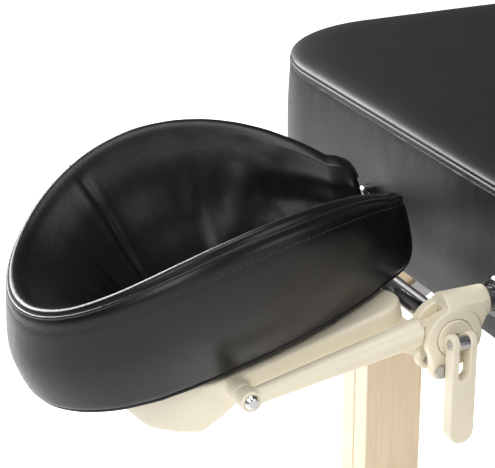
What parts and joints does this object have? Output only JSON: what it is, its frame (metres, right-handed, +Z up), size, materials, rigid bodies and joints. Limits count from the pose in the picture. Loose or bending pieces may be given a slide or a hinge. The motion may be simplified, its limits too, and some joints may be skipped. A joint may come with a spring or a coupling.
{
  "type": "portable massage table",
  "caption": "Folding massage table in two padded halves on wooden legs, with knee braces, clamp knobs and a tilting horseshoe face cradle in its head end.",
  "frame": {"origin": "middle of the footprint, face cradle included, on the floor", "axes": "+X runs from the head end (face cradle) to the foot end, +Z is up, +Y is the side away from the carry handles"},
  "size_m": [2.2407, 0.796, 0.7152],
  "materials": {
    "vinyl": "satin black vinyl upholstery",
    "foam": "open-cell foam",
    "wood": "clear satin lacquer on pale hardwood",
    "ply": "raw plywood",
    "cream": "cream powder coat",
    "steel": "polished",
    "cream_plastic": "cream moulded plastic",
    "black_plastic": "glossy black",
    "rubber": "matt black",
    "grip": "padded black grip",
    "hook": "hook and loop strip"
  },
  "bodies": {
    "head_half": {"head_deck": "ply", "head_straight_rails": "wood", "head_end_rail": "wood", "head_foam": "foam", "head_cover": "vinyl", "head_sockets": "black_plastic", "head_leg_mounts": "steel", "head_handle_brackets": "steel", "head_hinge_leaves": "steel", "latch_bases": "steel"},
    "foot_half": {"foot_deck": "ply", "foot_straight_rails": "wood", "foot_end_rail": "wood", "foot_foam": "foam", "foot_cover": "vinyl", "foot_sockets": "black_plastic", "foot_leg_mounts": "steel", "foot_handle_brackets": "steel", "foot_hinge_leaves": "steel", "latch_strikes": "steel"},
    "hinge_links": {"hinge_links": "steel", "hinge_pins": "steel"},
    "latch_lever_inner": {"latch_lever_inner": "steel"},
    "latch_lever_outer": {"latch_lever_outer": "steel"},
    "cradle_post": {"cradle_rods": "steel", "hub_brackets": "cream", "cross_tube": "steel", "tie_rod": "steel", "cam_washer": "cream_plastic", "stop_bolts": "steel"},
    "cam_lever": {"cam_lever": "cream_plastic", "lever_pin": "steel"},
    "tilt_arms": {"tilt_arms": "cream"},
    "platform": {"platform": "cream_plastic", "arm_pins": "steel", "hook_strip": "hook", "face_cushion": "vinyl"},
    "head_legs": {"head_upper_legs": "wood", "head_leg_crossbar": "wood"},
    "head_lower_braces": {"head_lower_braces": "steel"},
    "head_upper_braces": {"head_upper_braces": "steel"},
    "head_handle": {"head_handle": "grip"},
    "head_extension_left": {"head_extension_left": "wood", "head_foot_left": "rubber"},
    "head_knob_left": {"head_knob_left": "black_plastic"},
    "head_extension_right": {"head_extension_right": "wood", "head_foot_right": "rubber"},
    "head_knob_right": {"head_knob_right": "black_plastic"},
    "foot_legs": {"foot_upper_legs": "wood", "foot_leg_crossbar": "wood"},
    "foot_lower_braces": {"foot_lower_braces": "steel"},
    "foot_upper_braces": {"foot_upper_braces": "steel"},
    "foot_handle": {"foot_handle": "grip"},
    "foot_extension_left": {"foot_extension_left": "wood", "foot_foot_left": "rubber"},
    "foot_knob_left": {"foot_knob_left": "black_plastic"},
    "foot_extension_right": {"foot_extension_right": "wood", "foot_foot_right": "rubber"},
    "foot_knob_right": {"foot_knob_right": "black_plastic"}
  },
  "joints": [
    {"name": "fold_first", "type": "hinge", "parent": "head_half", "child": "hinge_links", "pos_m": [0.1645, 0, 0.5618], "axis": [0, 1, 0], "range_deg": [0, 90]},
    {"name": "fold_last", "type": "hinge", "parent": "hinge_links", "child": "foot_half", "pos_m": [0.2105, 0, 0.5618], "axis": [0, 1, 0], "range_deg": [0, 90]},
    {"name": "head_legs_fold", "type": "hinge", "parent": "head_half", "child": "head_legs", "pos_m": [-0.6045, 0, 0.6025], "axis": [0, -1, 0], "range_deg": [0, 90]},
    {"name": "head_lower_brace_turn", "type": "hinge", "parent": "head_legs", "child": "head_lower_braces", "pos_m": [-0.6045, 0, 0.4125], "axis": [0, -1, 0], "range_deg": [0, 60.1]},
    {"name": "head_upper_brace_turn", "type": "hinge", "parent": "head_half", "child": "head_upper_braces", "pos_m": [-0.2745, 0, 0.6025], "axis": [0, 1, 0], "range_deg": [0, 30]},
    {"name": "head_extension_left_slide", "type": "slide", "parent": "head_legs", "child": "head_extension_left", "axis": [0, 0, -1], "range_m": [-0.1, 0.125]},
    {"name": "head_knob_left_spin", "type": "hinge", "parent": "head_legs", "child": "head_knob_left", "pos_m": [-0.6045, 0.33, 0.2305], "axis": [0, 1, 0], "continuous": true},
    {"name": "head_extension_right_slide", "type": "slide", "parent": "head_legs", "child": "head_extension_right", "axis": [0, 0, -1], "range_m": [-0.1, 0.125]},
    {"name": "head_knob_right_spin", "type": "hinge", "parent": "head_legs", "child": "head_knob_right", "pos_m": [-0.6045, -0.33, 0.2305], "axis": [0, -1, 0], "continuous": true},
    {"name": "head_handle_lift", "type": "hinge", "parent": "head_half", "child": "head_handle", "pos_m": [-0.2425, -0.398, 0.6265], "axis": [-1, 0, 0], "range_deg": [0, 170]},
    {"name": "foot_legs_fold", "type": "hinge", "parent": "foot_half", "child": "foot_legs", "pos_m": [0.9795, 0, 0.6025], "axis": [0, 1, 0], "range_deg": [0, 90]},
    {"name": "foot_lower_brace_turn", "type": "hinge", "parent": "foot_legs", "child": "foot_lower_braces", "pos_m": [0.9795, 0, 0.4125], "axis": [0, 1, 0], "range_deg": [0, 60.1]},
    {"name": "foot_upper_brace_turn", "type": "hinge", "parent": "foot_half", "child": "foot_upper_braces", "pos_m": [0.6495, 0, 0.6025], "axis": [0, -1, 0], "range_deg": [0, 30]},
    {"name": "foot_extension_left_slide", "type": "slide", "parent": "foot_legs", "child": "foot_extension_left", "axis": [0, 0, -1], "range_m": [-0.1, 0.125]},
    {"name": "foot_knob_left_spin", "type": "hinge", "parent": "foot_legs", "child": "foot_knob_left", "pos_m": [0.9795, 0.33, 0.2305], "axis": [0, 1, 0], "continuous": true},
    {"name": "foot_extension_right_slide", "type": "slide", "parent": "foot_legs", "child": "foot_extension_right", "axis": [0, 0, -1], "range_m": [-0.1, 0.125]},
    {"name": "foot_knob_right_spin", "type": "hinge", "parent": "foot_legs", "child": "foot_knob_right", "pos_m": [0.9795, -0.33, 0.2305], "axis": [0, -1, 0], "continuous": true},
    {"name": "foot_handle_lift", "type": "hinge", "parent": "foot_half", "child": "foot_handle", "pos_m": [0.6175, -0.398, 0.6265], "axis": [-1, 0, 0], "range_deg": [0, 170]},
    {"name": "latch_lever_inner_turn", "type": "hinge", "parent": "head_half", "child": "latch_lever_inner", "pos_m": [-0.0225, -0.3965, 0.6065], "axis": [-1, 0, 0], "range_deg": [0, 150]},
    {"name": "latch_lever_outer_turn", "type": "hinge", "parent": "head_half", "child": "latch_lever_outer", "pos_m": [-0.4625, -0.3965, 0.6065], "axis": [-1, 0, 0], "range_deg": [0, 150]},
    {"name": "cradle_slide", "type": "slide", "parent": "head_half", "child": "cradle_post", "axis": [-1, 0, 0], "range_m": [0, 0.1]},
    {"name": "cam_lever_turn", "type": "hinge", "parent": "cradle_post", "child": "cam_lever", "pos_m": [-0.7915, -0.14075, 0.589], "axis": [-1, 0, 0], "range_deg": [0, 100]},
    {"name": "arm_tilt", "type": "hinge", "parent": "cradle_post", "child": "tilt_arms", "pos_m": [-0.7915, 0, 0.589], "axis": [0, 1, 0], "range_deg": [-25, 30]},
    {"name": "platform_tilt", "type": "hinge", "parent": "tilt_arms", "child": "platform", "pos_m": [-0.967, 0, 0.5645], "axis": [0, -1, 0], "range_deg": [-4, 40]}
  ],
  "couplings": [
    {"joint": "head_legs_fold", "follows": "fold_first", "ratio": 1},
    {"joint": "head_lower_brace_turn", "follows": "fold_first", "ratio": 0.66743},
    {"joint": "head_upper_brace_turn", "follows": "fold_first", "ratio": 0.33257},
    {"joint": "foot_legs_fold", "follows": "fold_first", "ratio": 1},
    {"joint": "foot_lower_brace_turn", "follows": "fold_first", "ratio": 0.66743},
    {"joint": "foot_upper_brace_turn", "follows": "fold_first", "ratio": 0.33257}
  ]
}
